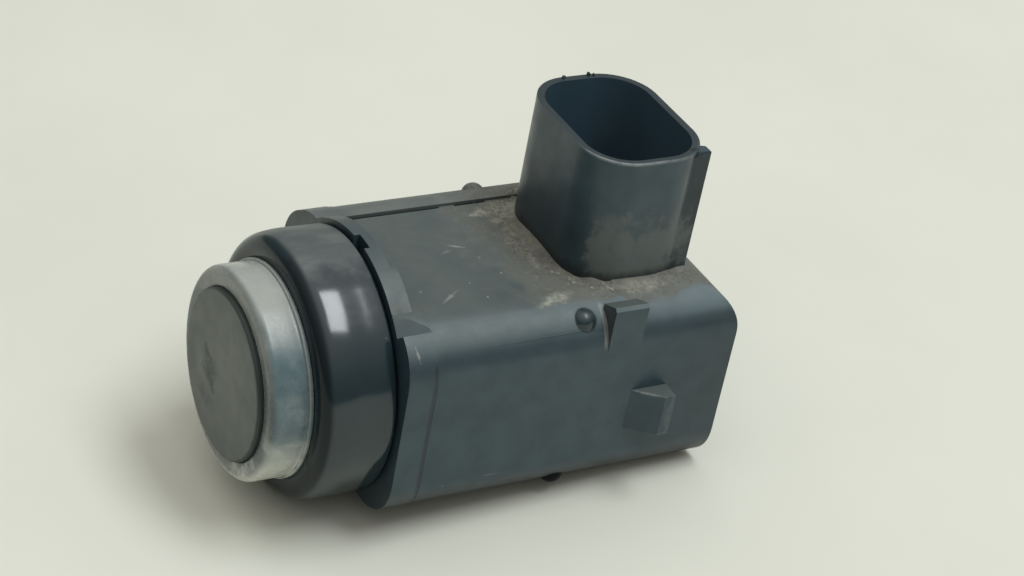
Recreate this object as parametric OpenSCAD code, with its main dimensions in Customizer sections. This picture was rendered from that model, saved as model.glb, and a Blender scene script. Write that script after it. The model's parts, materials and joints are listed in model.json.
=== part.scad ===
// Ultrasonic parking sensor with an upright three-way socket.
// The sound axis is Y and the membrane faces -Y; +Z is the way the socket opens.
// The origin is on the sound axis, in the plane of the collar's rear edge.

/* [Head] */
// Radius of the membrane pot
pot_r = 7.75; // [7:0.05:8.2]
// Length of the membrane pot
pot_len = 9; // [8:0.1:9.6]
// Side wall of the membrane pot
pot_wall = 1.2; // [0.8:0.1:1.6]
// Thickness of the membrane
membrane_t = 0.8; // [0.5:0.1:1.2]
// How far the pot stands out of the soft ring
pot_proud = 0.55; // [0.4:0.05:1]
// Visible length of the soft ring in front of its groove
ring_len = 2.7; // [2.2:0.1:3.2]
// Radius of the soft ring's widest visible part
ring_r = 9.6; // [9.3:0.05:9.7]
// Rounding of the soft ring's front edge
ring_round = 0.7; // [0.4:0.05:0.9]
// Radius of the soft ring's lip
lip_r = 9.85; // [9.75:0.05:10.1]
// Thickness of the soft ring's lip
lip_t = 0.6; // [0.4:0.05:0.9]
// Width of the groove in front of the lip
ring_groove_w = 0.45; // [0.3:0.05:0.6]
// Outer radius of the collar
collar_r = 12.05; // [11.8:0.05:12.2]
// Length of the collar
collar_len = 6.8; // [6:0.1:7.4]
// Rounding of the collar's front edge
collar_round = 2; // [1:0.1:2.1]
// Thickness of the collar's front wall
collar_front_t = 1.95; // [1.5:0.05:2.4]
// Outer radius of the housing's nose, inside the collar
nose_r = 10.5; // [10.3:0.05:10.8]
// Radius of the soft ring inside the nose
ring_seat_r = 9.4; // [9.2:0.05:9.5]
// Depth of the soft ring's seat in front of the collar's rear edge
ring_seat_y = 0.8; // [0.5:0.1:1.2]

/* [Housing] */
// Width of the body
body_w = 25; // [24:0.1:27]
// Height of the body's top rails above the sound axis
body_top = 9.5; // [9:0.1:10]
// Depth of the body's underside below the sound axis
body_bottom = 9.9; // [9.6:0.1:10.4]
// Distance of the rear face behind the collar
body_rear = 33.7; // [33:0.1:40]
// Radius of the body's long corners
body_corner = 4.3; // [3.6:0.1:4.4]
// Rounding of the rear face's top edge
rear_round = 3.8; // [2:0.1:4]
// Rounding of the rear face's bottom edge
foot_round = 1.6; // [1:0.1:1.8]
// Side and bottom wall
wall = 1.6; // [1.4:0.1:1.8]
// Thickness of the wall under the socket
roof_t = 2.2; // [1.8:0.1:2.4]
// Depth of the panel between the top rails
panel_drop = 0.3; // [0.2:0.05:0.5]
// Width of each top rail
rail_w = 4.75; // [4.2:0.05:4.85]
// Gap between the collar and the flange
flange_gap = 0.25; // [0.15:0.05:0.5]
// Thickness of the flange
flange_t = 2.75; // [2.3:0.05:3]
// How far the flange stands proud of the body
flange_proud = 0.2; // [0.1:0.05:0.4]
// Radius of the arched band on top of the flange
band_r = 12.45; // [12.25:0.05:12.7]
// Thickness of the arched band
band_t = 1.4; // [1:0.1:1.6]
// Extra thickness of the pad on the band
pad_t = 0.55; // [0.3:0.05:0.7]
// How far the ear on the flange's far corner stands proud of the body
ear_proud = 1.05; // [0.6:0.05:1.2]
// Length of the taper behind the pad
taper_len = 4; // [3:0.1:5]
// Width and depth of the seam behind the flange
seam = 0.15; // [0.1:0.05:0.3]

/* [Details] */
// Distance of the four corner bumps behind the collar
bump_y = 17.9; // [15:0.1:18.4]
// Radius of a corner bump
bump_r = 1.15; // [0.9:0.05:1.3]
// How far a corner bump stands proud
bump_proud = 0.6; // [0.4:0.05:0.7]
// Front of the square corner block
block_y = 20; // [19.4:0.1:21]
// Length of the square corner block
block_len = 3.4; // [3:0.1:5]
// How far the corner block's outer edge rises above the rail
block_rise = 0.55; // [0.3:0.05:0.7]
// Width of the corner block
block_w = 2.1; // [1.8:0.1:2.6]
// Front of the side latches
latch_y = 23.4; // [22:0.1:25]
// Length of a latch's ramp
latch_ramp = 2.65; // [2.2:0.05:4]
// Width of a latch's crest
latch_land = 1.1; // [0.6:0.1:1.6]
// How far a latch stands proud
latch_proud = 1.9; // [1:0.1:2.2]
// Top edge of a latch
latch_top = 0.8; // [0:0.1:1.2]
// Height of a latch
latch_h = 4.2; // [3:0.1:5]

/* [Socket] */
// Outer width of the socket
socket_w = 15.5; // [15:0.1:16.5]
// Outer depth of the socket
socket_d = 11.9; // [11.6:0.1:12.5]
// Outer corner radius of the socket
socket_corner = 4.5; // [3.5:0.1:4.8]
// Wall of the socket
socket_wall = 0.7; // [0.6:0.05:1]
// Height of the socket's rim above the sound axis
socket_rim = 21.7; // [20:0.1:23]
// Distance of the socket's middle behind the collar
socket_y = 24.7; // [24:0.1:25.2]
// Distance of the socket's rib from the middle
rib_x = 5.9; // [5.4:0.1:6.2]
// Thickness of the socket's rib
rib_t = 1; // [0.8:0.1:1.4]
// How far the rib reaches behind the socket's rear wall
rib_reach = 0.2; // [0.1:0.1:0.6]
// Drop of the rib below the rim
rib_drop = 0.5; // [0.2:0.1:1]
// Spacing of the terminals
terminal_pitch = 3.6; // [3:0.1:4]
// Width of a terminal's blade
terminal_w = 1.2; // [0.8:0.1:1.5]
// Thickness of a terminal's blade
terminal_t = 0.6; // [0.4:0.05:0.8]
// Distance of the terminals behind the socket's middle
terminal_back = 1.6; // [1.4:0.1:2]
// Depth of the terminals' tips below the rim
terminal_drop = 7.2; // [5:0.1:8]

/* [Inside] */
// Radius of the piezo disc
piezo_r = 4.6; // [3.8:0.1:5]
// Thickness of the piezo disc
piezo_t = 0.5; // [0.3:0.05:0.8]
// Length of the damping pad
damping_len = 4.2; // [3:0.1:4.4]
// Length of the pot's plug
plug_len = 2.6; // [1.5:0.1:2.6]
// Radius of a lead wire
wire_r = 0.35; // [0.25:0.05:0.4]
// Distance of each lead wire from the middle
wire_x = 2; // [1.5:0.1:2.5]
// Top of the circuit board, below the sound axis
board_drop = 1.4; // [1.2:0.1:1.8]
// Thickness of the circuit board
board_t = 1.2; // [0.8:0.1:1.6]
// Reach of each shelf over a corner of the board
shelf_w = 1.3; // [0.8:0.1:1.6]
// Length of each shelf along the board
shelf_len = 2.4; // [1.6:0.1:2.6]
// Thickness of the shelves
shelf_t = 1.2; // [0.8:0.1:1.6]
// Thickness of the bottom cover
cover_t = 1; // [0.8:0.1:1.2]
// Width of the bottom cover's opening
cover_w = 16.6; // [16:0.1:16.8]
// Width of the step that the bottom cover sits on
cover_step = 0.5; // [0.3:0.05:0.6]
// Width of the transformer's core
core_w = 8; // [7.6:0.1:8.4]
// Depth of the transformer's core
core_d = 5; // [4.4:0.1:5.4]
// Height of the transformer's core
core_h = 6; // [5.4:0.1:6.6]
// Radius of the capacitor's can
can_r = 2.4; // [2:0.1:2.6]
// Height of the capacitor's can
can_h = 5.6; // [4.5:0.1:6.4]
// Width of the control chip's body
chip_w = 5; // [4:0.1:5.4]
// Length of the control chip's body
chip_len = 6; // [5:0.1:6.4]
// Height of the control chip's body
chip_h = 1.4; // [1:0.1:1.8]

/* [Hidden] */
$fn = 64;

// Clearances and overlaps
slide = 0.05;
ease = 0.1;
loose = 0.2;
over = 1;
flush = 0.02;

// Places along the sound axis
lip_y = -collar_len - lip_t;
groove_y = lip_y - ring_groove_w;
ring_y = groove_y - ring_len;
face_y = ring_y - pot_proud;
pot_rear = face_y + pot_len;
piezo_y = face_y + membrane_t;
damping_y = piezo_y + piezo_t;
plug_y = damping_y + damping_len;
nose_y = -collar_len + collar_front_t + slide;
flange_y = flange_gap;
flange_rear = flange_y + flange_t;
cavity_y = flange_rear + wall;
cavity_rear = body_rear - wall;

// Cross-section of the body
half_w = body_w / 2;
panel_z = body_top - panel_drop;
panel_half = half_w - rail_w;
cavity_half = half_w - wall;
cavity_top = panel_z - roof_t;
cavity_bottom = -body_bottom + wall;
cavity_corner = body_corner - wall;
bore_r = pot_r - pot_wall;

// Bumps on the long corners
bump_angle = 49;
bump_depth = body_corner - bump_r + bump_proud;

// Corners of the flange, almost flush with the body on the diagonal
flange_flush = 0.85;
flange_corner = body_corner + flange_flush * flange_proud * (2 + sqrt(2));

// Ear on the flange's far top corner
ear_corner = 4.7;
ear_drop = 0.4;

// Angles on the arched band, counted from the top towards +X, and depth of its notch
band_from = -50;
band_to = 48.5;
pad_from = 18;
notch_from = -3;
notch_to = 6.5;
notch_depth = 0.55;

// Slope of the taper that runs from the pad up to the body's corner
taper_from = 30;
taper_rise = 0.39;

// Fine grooves at the foot of the top rails, each run from its start to its end
rail_groove_w = 0.2;
rail_groove_depth = 0.5;
rail_grooves = [[flange_rear, 12.6], [14.2, 17.4]];

// Small edges and how deep the rib bites into the socket's corner
block_edge = 0.3;
block_dip = 0.15;
cover_corner = 1.5;
rib_bite = 0.97;
pot_edge = 0.35;
ring_notch = 0.2;

// Places of what is on the board
board_z = -board_drop;
cover_half = cover_w / 2;
cover_front = cavity_y + wall / 2;
cover_rear = cavity_rear - wall / 2;
board_half = cover_half - cover_step - loose;
board_front = cover_front + cover_step + loose;
board_rear = cover_rear - cover_step - loose;
terminal_y = socket_y + terminal_back;
wire_lap = 1.6;
wire_end = board_front + wire_lap;
foot_len = 0.8;
shoulder_h = 1.4;
leg = [0.8, 0.4, 0.2];
leg_h = 0.6;
leg_count = 7;
chip_lift = 0.1;
core_x = -3.2;
core_y = 17.6;
winding_r = 2.7;
winding_h = 3.6;
post_r = 1.4;
core_plate = (core_h - winding_h - loose) / 2;
chip_x = 3.8;
chip_y = 12;
can_x = 4.4;
can_y = 18.6;
can_edge = 0.4;
can_bead = [0.8, 1.1, 1.4];
can_bead_depth = 0.25;
capacitor_size = [2, 1.25, 1.1];
capacitors = [[-5.6, 10.4], [-2.6, 10.4]];
resistor_size = [1.6, 0.8, 0.5];
resistors = [[-5.8, 22.6], [-3.2, 22.6], [-0.6, 22.6]];
diode_size = [2.7, 1.6, 1.1];
diode = [4.4, 23];

// A solid that follows the flat outline of its children, drawn as x and z, from y0 over a length
module along_y(y0, length) {
    translate([0, y0, 0]) rotate([-90, 0, 0]) linear_extrude(length) mirror([0, 1]) children();
}

// A solid of revolution about the sound axis, its children drawn as radius and y
module turned() {
    rotate([-90, 0, 0]) rotate_extrude() children();
}

// A rectangle with round corners, from its lowest to its highest corner
module round_rect(low, high, r) {
    translate([low[0] + r, low[1]]) square([high[0] - low[0] - 2 * r, high[1] - low[1]]);
    translate([low[0], low[1] + r]) square([high[0] - low[0], high[1] - low[1] - 2 * r]);
    for (x = [low[0] + r, high[0] - r], y = [low[1] + r, high[1] - r]) translate([x, y]) circle(r);
}

// Both halves of a feature that is the same left and right
module both_sides() {
    children();
    mirror([1, 0, 0]) children();
}

// The body's outline, grown by an amount and with a corner radius
module body_outline(grow, r) {
    round_rect([-half_w - grow, -body_bottom - grow], [half_w + grow, body_top + grow], r);
}

// A slice of a disc between two angles, counted from the top towards +X
module slice(r, from, to) {
    intersection() {
        circle(r);
        polygon([[0, 0], for (i = [0:4]) let (a = from + (to - from) * i / 4) 2 * r * [sin(a), cos(a)]]);
    }
}

// The body with its rear edges rounded
module body_block() {
    intersection() {
        along_y(flange_y, body_rear - flange_y) body_outline(0, body_corner);
        translate([-half_w - over, 0, 0]) rotate([90, 0, 90]) linear_extrude(body_w + 2 * over)
            difference() {
                translate([0, -body_bottom]) square([body_rear, body_top + body_bottom]);
                translate([body_rear - rear_round, body_top - rear_round]) edge_cut(rear_round);
                translate([body_rear - foot_round, foot_round - body_bottom]) mirror([0, 1])
                    edge_cut(foot_round);
            }
    }
}

// What a rounding takes off an edge, drawn from the middle of the rounding
module edge_cut(r) {
    difference() {
        square(r + over);
        circle(r);
    }
}

// Arched band on top of the flange, with its pad
module top_band() {
    along_y(flange_y, band_t) slice(band_r, band_from, band_to);
    along_y(flange_y, band_t + pad_t) slice(band_r, pad_from, band_to);
}

// Flange with a larger ear at its far top corner
module flange() {
    along_y(flange_y, flange_t) {
        body_outline(flange_proud, flange_corner);
        round_rect([-half_w - ear_proud, -ear_corner], [0, body_top - ear_drop], ear_corner);
    }
}

// Notch in the arched band
module band_notch() {
    along_y(flange_y - over, over + notch_depth) difference() {
        slice(band_r + over, notch_from, notch_to);
        circle(nose_r);
    }
}

// What the taper takes off the near top corner
module corner_taper() {
    front_r = band_r - over * taper_rise;
    rear_r = band_r + taper_len * taper_rise;
    difference() {
        along_y(flange_y - over, taper_len + over) slice(2 * band_r, taper_from, band_to);
        translate([0, flange_y - over, 0]) rotate([-90, 0, 0])
            cylinder(r1 = front_r, r2 = rear_r, h = taper_len + over);
    }
}

// Fine seam behind the flange, round the sides and the underside
module flange_seam() {
    along_y(flange_rear, seam) difference() {
        translate([-body_w, -2 * body_bottom])
            square([2 * body_w, 2 * body_bottom + body_top - body_corner - seam]);
        body_outline(-seam, body_corner - seam);
    }
}

// Rounded bump at each long corner
module corner_bumps() {
    reach = bump_depth * [cos(bump_angle), sin(bump_angle)];
    for (z = [body_top - body_corner + reach[1], -body_bottom + body_corner - reach[1]])
        both_sides() translate([half_w - body_corner + reach[0], bump_y, z]) sphere(bump_r);
}

// Block that fills the rounded top corner behind one bump, its top rising outwards
module corner_block() {
    low = body_top - body_corner - over;
    along_y(block_y, block_len)
        polygon([[half_w - block_w, low], [half_w - block_w, body_top - block_dip],
            [half_w - block_edge, body_top + block_rise], [half_w, body_top + block_rise - block_edge],
            [half_w, low]]);
}

// Ramped latch on the side
module side_latch() {
    translate([0, 0, latch_top - latch_h]) linear_extrude(latch_h)
        polygon([[half_w - over, latch_y], [half_w, latch_y], [half_w + latch_proud, latch_y + latch_ramp],
            [half_w + latch_proud, latch_y + latch_ramp + latch_land],
            [half_w - over, latch_y + latch_ramp + latch_land]]);
}

// Outline of the socket, taken in by a wall
module socket_outline(inset) {
    half = [socket_w / 2 - inset, socket_d / 2 - inset];
    translate([0, socket_y]) round_rect(-half, half, socket_corner - inset);
}

// Upright rib at one rear corner of the socket, its near face running out of the corner's curve
module socket_rib() {
    middle = [socket_w / 2, socket_y + socket_d / 2] - socket_corner * [1, 1];
    tip = [rib_x + rib_t / 2, socket_y + socket_d / 2 + rib_reach];
    run = tip - middle;
    angle = atan2(run[1], run[0]) - acos(socket_corner / norm(run));
    foot = middle + rib_bite * socket_corner * [cos(angle), sin(angle)];
    translate([0, 0, panel_z - over]) linear_extrude(socket_rim - rib_drop - panel_z + over)
        polygon([foot, tip, tip - [rib_t, 0], middle]);
}

// Slim blade of a terminal's section, grown by a clearance
module blade(x, z0, z1, grow) {
    translate([x - terminal_w / 2 - grow, terminal_y - terminal_t / 2 - grow, z0])
        cube([terminal_w + 2 * grow, terminal_t + 2 * grow, z1 - z0]);
}

// Space inside the housing
module housing_space() {
    along_y(nose_y - over, over - nose_y - ring_seat_y) circle(ring_seat_r + slide);
    along_y(-ring_seat_y - flush, cavity_y + ring_seat_y + over) circle(bore_r + slide);
    along_y(cavity_y, cavity_rear - cavity_y)
        round_rect([-cavity_half, cavity_bottom], [cavity_half, cavity_top], cavity_corner);
    translate([0, 0, -body_bottom - over]) linear_extrude(wall + 2 * over) cover_outline(cover_step);
    translate([0, 0, -body_bottom - over]) linear_extrude(cover_t + over) cover_outline(0);
}

// Outline of the bottom cover's seat, taken in by an amount
module cover_outline(inset) {
    round_rect([-cover_half + inset, cover_front + inset], [cover_half - inset, cover_rear - inset],
        cover_corner - inset);
}

// Shelves that the corners of the board bear on
module board_shelves() {
    front = [cavity_y - flush, board_front + shelf_len];
    rear = [board_rear - shelf_len, cavity_rear + flush];
    both_sides() for (run = [front, rear]) translate([board_half - shelf_w, run[0], board_z])
        cube([cavity_half - board_half + shelf_w + flush, run[1] - run[0], shelf_t]);
}

// Panel between the top rails, with a fine groove at the foot of each rail
module panel_cuts() {
    translate([-panel_half, flange_rear, panel_z])
        cube([2 * panel_half, body_rear, panel_drop + over]);
    both_sides() for (run = rail_grooves)
        translate([panel_half - rail_groove_w, run[0], panel_z - rail_groove_depth])
            cube([rail_groove_w, run[1] - run[0], rail_groove_depth + over]);
}

// Moulded housing: nose, flange, body, latches and socket in one piece
module housing() {
    color("#3f4749") {
        difference() {
            union() {
                difference() {
                    body_block();
                    panel_cuts();
                }
                flange();
                along_y(nose_y, flange_y - nose_y + over) circle(nose_r);
                top_band();
                corner_bumps();
                corner_block();
                both_sides() side_latch();
                socket_rib();
                translate([0, 0, panel_z - over]) linear_extrude(socket_rim - panel_z + over)
                    socket_outline(0);
            }
            band_notch();
            corner_taper();
            flange_seam();
            housing_space();
            translate([0, 0, panel_z]) linear_extrude(socket_rim) socket_outline(socket_wall);
            for (i = [-1:1]) blade(i * terminal_pitch, cavity_top - over, panel_z + over, slide);
        }
        board_shelves();
    }
}

// Glossy collar that slides on the nose
module front_collar() {
    color("#1b1f22") turned() difference() {
        union() {
            translate([nose_r - over, -collar_len])
                square([collar_r - collar_round - nose_r + over, collar_len]);
            translate([nose_r - over, collar_round - collar_len])
                square([collar_r - nose_r + over, collar_len - collar_round]);
            translate([collar_r - collar_round, collar_round - collar_len]) circle(collar_round);
            translate([ring_seat_r + slide, -collar_len]) square([over, collar_front_t]);
        }
        translate([0, nose_y - slide]) square([nose_r + slide, collar_len]);
        translate([0, -collar_len - over]) square([ring_seat_r + slide, collar_len]);
    }
}

// Soft ring that carries the pot and keeps it off the housing
module decoupling_ring() {
    middle = [ring_r - ring_round, ring_y + ring_round];
    shoulder = [for (a = [0:15:90]) middle + ring_round * [sin(a), -cos(a)]];
    color("#aab4b8") turned() polygon([[pot_r, ring_y], each shoulder,
        [ring_r, groove_y - ring_notch], [ring_r - ring_notch, groove_y], [ring_r - ring_notch, lip_y],
        [lip_r, lip_y + ring_notch], [lip_r, -collar_len], [ring_seat_r, -collar_len],
        [ring_seat_r, -ring_seat_y], [bore_r + slide, -ring_seat_y], [bore_r + slide, pot_rear],
        [pot_r, pot_rear]]);
}

// Drawn metal cup whose floor is the membrane
module membrane_pot() {
    color("#565b56") turned() difference() {
        union() {
            translate([0, face_y]) square([pot_r - pot_edge, pot_len]);
            translate([0, face_y + pot_edge]) square([pot_r, pot_len - pot_edge]);
            translate([pot_r - pot_edge, face_y + pot_edge]) circle(pot_edge);
        }
        translate([0, piezo_y]) square([bore_r, pot_len]);
    }
}

// Ceramic disc bonded to the membrane
module piezo_disc() {
    color("#d8cda4") along_y(piezo_y, piezo_t) circle(piezo_r);
}

// Round filling of the pot with a passage for each wire
module pot_filling(y0, length) {
    along_y(y0, length) difference() {
        circle(bore_r - slide);
        for (x = [-wire_x, wire_x]) translate([x, board_z + wire_r]) circle(wire_r + slide);
    }
}

// Felt pad that damps the disc
module damping_pad() {
    color("#8a8478") pot_filling(damping_y, damping_len);
}

// Plug that closes the pot
module pot_plug() {
    color("#4a4d50") pot_filling(plug_y, plug_len);
}

// Wire from the disc to the board
module lead_wire(x) {
    translate([x, 0, board_z + wire_r]) along_y(damping_y, wire_end - damping_y) circle(wire_r);
}

module lead_wire_left() {
    color("#b3392f") lead_wire(-wire_x);
}

module lead_wire_right() {
    color("#2b2b2b") lead_wire(wire_x);
}

// Board that is pushed up against the shelves
module circuit_board() {
    color("#2f6b45") difference() {
        translate([-board_half, board_front, board_z - board_t])
            cube([2 * board_half, board_rear - board_front, board_t]);
        for (i = [-1:1]) blade(i * terminal_pitch, board_z - board_t - over, board_z + over, slide);
    }
}

// Blade terminal with a shoulder that stands on the board
module terminal(i) {
    x = i * terminal_pitch;
    color("#c9c2a8") {
        blade(x, board_z - board_t - foot_len, socket_rim - terminal_drop, 0);
        translate([x - terminal_w, terminal_y - terminal_t / 2, board_z])
            cube([2 * terminal_w, terminal_t, shoulder_h]);
    }
}

module terminal_left() {
    terminal(-1);
}

module terminal_middle() {
    terminal(0);
}

module terminal_right() {
    terminal(1);
}

// Chip with a row of legs on each side
module control_chip() {
    pitch = chip_len / (leg_count + 1);
    color("#24272a") translate([chip_x, chip_y, board_z]) {
        translate([-chip_w / 2, -chip_len / 2, chip_lift]) cube([chip_w, chip_len, chip_h]);
        both_sides() for (i = [1:leg_count])
            translate([chip_w / 2, i * pitch - chip_len / 2 - leg[1] / 2, 0]) {
                translate([-leg[2], 0, leg_h - leg[2]]) cube([2 * leg[2], leg[1], leg[2]]);
                cube([leg[2], leg[1], leg_h]);
                cube(leg);
            }
    }
}

// Ferrite core with a round window and a middle post
module transformer_core() {
    color("#3a3a3c") translate([core_x, core_y, board_z]) {
        difference() {
            translate([-core_w / 2, -core_d / 2, 0]) cube([core_w, core_d, core_h]);
            translate([0, 0, core_plate]) cylinder(r = winding_r + loose, h = winding_h + loose);
        }
        translate([0, 0, core_plate / 2]) cylinder(r = post_r, h = core_h - core_plate);
    }
}

// Copper winding around the core's post
module transformer_winding() {
    color("#b4683a") translate([core_x, core_y, board_z + core_plate]) difference() {
        cylinder(r = winding_r, h = winding_h);
        translate([0, 0, -over]) cylinder(r = post_r + slide, h = winding_h + 2 * over);
    }
}

// Upright can capacitor with a beaded foot
module storage_capacitor() {
    color("#9aa0a6") translate([can_x, can_y, board_z]) rotate_extrude()
        polygon([[0, 0], [can_r, 0], [can_r, can_bead[0]], [can_r - can_bead_depth, can_bead[1]],
            [can_r, can_bead[2]], [can_r, can_h - can_edge], [can_r - can_edge, can_h], [0, can_h]]);
}

// Small block part at a place on the board
module block_part(place, size) {
    translate([place[0] - size[0] / 2, place[1] - size[1] / 2, board_z]) cube(size);
}

module filter_capacitors() {
    color("#a58a62") for (place = capacitors) block_part(place, capacitor_size);
}

module filter_resistors() {
    color("#2a2d30") for (place = resistors) block_part(place, resistor_size);
}

module protection_diode() {
    color("#303336") block_part(diode, diode_size);
}

// Plain cover let into the underside
module bottom_cover() {
    color("#373e40") translate([0, 0, -body_bottom]) linear_extrude(cover_t) cover_outline(ease);
}

housing();
front_collar();
decoupling_ring();
membrane_pot();
piezo_disc();
damping_pad();
pot_plug();
lead_wire_left();
lead_wire_right();
circuit_board();
terminal_left();
terminal_middle();
terminal_right();
control_chip();
transformer_core();
transformer_winding();
storage_capacitor();
filter_capacitors();
filter_resistors();
protection_diode();
bottom_cover();
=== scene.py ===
"""Looks of a used ultrasonic parking sensor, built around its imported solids.

Lengths are written in millimetres and turned into metres by MM where objects are made.
The floor and the lamp, which are no part of the object, are sized in metres.
The sound axis is Y, the membrane faces -Y and the plug socket opens towards +Z.
"""

import json
import math
import random

import bmesh
import bpy
from mathutils import Matrix, Vector


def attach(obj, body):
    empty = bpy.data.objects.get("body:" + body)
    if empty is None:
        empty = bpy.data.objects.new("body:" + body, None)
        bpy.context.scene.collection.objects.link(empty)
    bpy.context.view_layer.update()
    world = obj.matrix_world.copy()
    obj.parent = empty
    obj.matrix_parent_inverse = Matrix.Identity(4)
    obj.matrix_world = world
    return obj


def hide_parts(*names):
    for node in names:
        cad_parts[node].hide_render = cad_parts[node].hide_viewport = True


MM = 0.001
SEED = 7

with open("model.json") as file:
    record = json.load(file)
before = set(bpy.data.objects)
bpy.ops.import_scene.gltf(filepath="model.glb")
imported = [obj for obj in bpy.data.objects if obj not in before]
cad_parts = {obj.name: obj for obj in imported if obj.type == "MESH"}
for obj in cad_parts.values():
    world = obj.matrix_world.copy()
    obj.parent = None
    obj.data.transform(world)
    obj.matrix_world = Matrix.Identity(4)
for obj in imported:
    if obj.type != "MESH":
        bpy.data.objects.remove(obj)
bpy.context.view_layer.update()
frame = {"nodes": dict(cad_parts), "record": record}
nodes = frame["nodes"]

# Places and sizes that the looks share with the solids
FACE_Y = -11.1
RING_Y = -10.55
COLLAR_Y = -6.8
PANEL_Z = 9.2
RAIL_Z = 9.5
SOCKET_MIDDLE = (0.0, 24.7)
SOCKET_HALF = (7.75, 5.95)
SOCKET_RIM = 21.7
SOCKET_CORNER = 4.5
COLLAR_R = 12.05
PANEL_HALF = 7.75
SIDE_X = 12.5
LATCH_X = 14.4
BLOCK_Y = 20.0
NEAR_BUMP = (10.66, 17.9, 8.03)
LOW_BUMP = (10.66, 17.9, -8.43)
BUMP_R = 1.15
SEAM_Y = 2.83
UNDERSIDE_Z = -9.9
REST_REAR_Y = 32.1

# Colour of the palest dirt, made paler still as painted light where the socket's shadow falls on it
PALE_DIRT_AND_LIGHT_COLOUR = (0.370, 0.369, 0.312)

# Half the floor's side and the lamp's aim, both in metres, and the photograph's width in pixels
FLOOR_HALF = 2.0
LAMP_AIM = (0.0, 0.010, 0.004)
PHOTO_WIDTH = 1024.0


# Meshes

def add_object(name, mesh, material, replaced=None):
    """Put a mesh into the scene as a piece that rides on the part."""
    piece = bpy.data.objects.new(name, mesh)
    bpy.context.scene.collection.objects.link(piece)
    mesh.materials.clear()
    mesh.materials.append(material)
    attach(piece, "root")
    if replaced:
        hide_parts(replaced)
    return piece


def finished_mesh(bm, name, angle):
    """Mesh of a bmesh, shaded smooth apart from edges sharper than an angle."""
    mesh = bpy.data.meshes.new(name)
    bm.to_mesh(mesh)
    bm.free()
    mesh.shade_smooth()
    mesh.set_sharp_from_angle(angle=math.radians(angle))
    return mesh


def softened(node, width):
    """Copy of a solid's mesh whose sharp edges are rounded; the roundings carry wear = 1."""
    weld = 2e-6
    flat, sharp = math.radians(0.4), math.radians(24.0)
    bm = bmesh.new()
    bm.from_mesh(nodes[node].data)
    bmesh.ops.remove_doubles(bm, verts=bm.verts, dist=weld)
    bmesh.ops.dissolve_limit(bm, angle_limit=flat, verts=bm.verts, edges=bm.edges)
    wear = bm.faces.layers.float.new("wear")
    edges = [e for e in bm.edges if e.is_manifold and e.calc_face_angle(0.0) > sharp]
    rounded = bmesh.ops.bevel(bm, geom=edges, offset=width * MM, segments=2, profile=0.5,
                              affect="EDGES", clamp_overlap=True, harden_normals=False)
    for face in rounded["faces"]:
        face[wear] = 1.0
    return finished_mesh(bm, node + "_soft", 38.0)


def weight_normals(piece):
    """Keep flat faces flat in shading beside their rounded edges."""
    modifier = piece.modifiers.new("flat_faces", "WEIGHTED_NORMAL")
    modifier.keep_sharp = True


def arc(middle, radius, start, end, steps):
    """Points of an arc in a profile, angles counted from +r towards +y."""
    angles = [math.radians(start + (end - start) * i / steps) for i in range(steps + 1)]
    return [(middle[0] + radius * math.cos(a), middle[1] + radius * math.sin(a)) for a in angles]


def lathe(name, profile, steps=192, closed=True):
    """Solid of revolution about the sound axis from points of radius and y."""
    bm = bmesh.new()
    rings = []
    for r, y in profile:
        if r < 1e-6:
            rings.append([bm.verts.new((0.0, y * MM, 0.0))])
            continue
        turn = [2.0 * math.pi * i / steps for i in range(steps)]
        rings.append([bm.verts.new((r * MM * math.sin(a), y * MM, r * MM * math.cos(a))) for a in turn])
    pairs = list(zip(rings, rings[1:]))
    if closed:
        pairs.append((rings[-1], rings[0]))
    for low, high in pairs:
        for i in range(steps):
            j = (i + 1) % steps
            corners = [low[i % len(low)], low[j % len(low)], high[j % len(high)], high[i % len(high)]]
            bm.faces.new(list(dict.fromkeys(corners)))
    bmesh.ops.recalc_face_normals(bm, faces=bm.faces)
    return finished_mesh(bm, name, 50.0)


def crumbs(name, places):
    """Small uneven lumps, each given by its place, size and flattening."""
    bm = bmesh.new()
    dice = random.Random(SEED)
    for place, size, flat in places:
        made = bmesh.ops.create_icosphere(bm, subdivisions=1, radius=1.0)
        turn = Matrix.Rotation(dice.uniform(0.0, math.tau), 3, "Z")
        for vert in made["verts"]:
            grown = vert.co * dice.uniform(0.72, 1.18)
            grown = turn @ Vector((grown.x * dice.uniform(0.9, 1.1), grown.y * 0.7, grown.z * flat))
            vert.co = (grown * size + Vector(place)) * MM
    return finished_mesh(bm, name, 60.0)


# Material nodes

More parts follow.
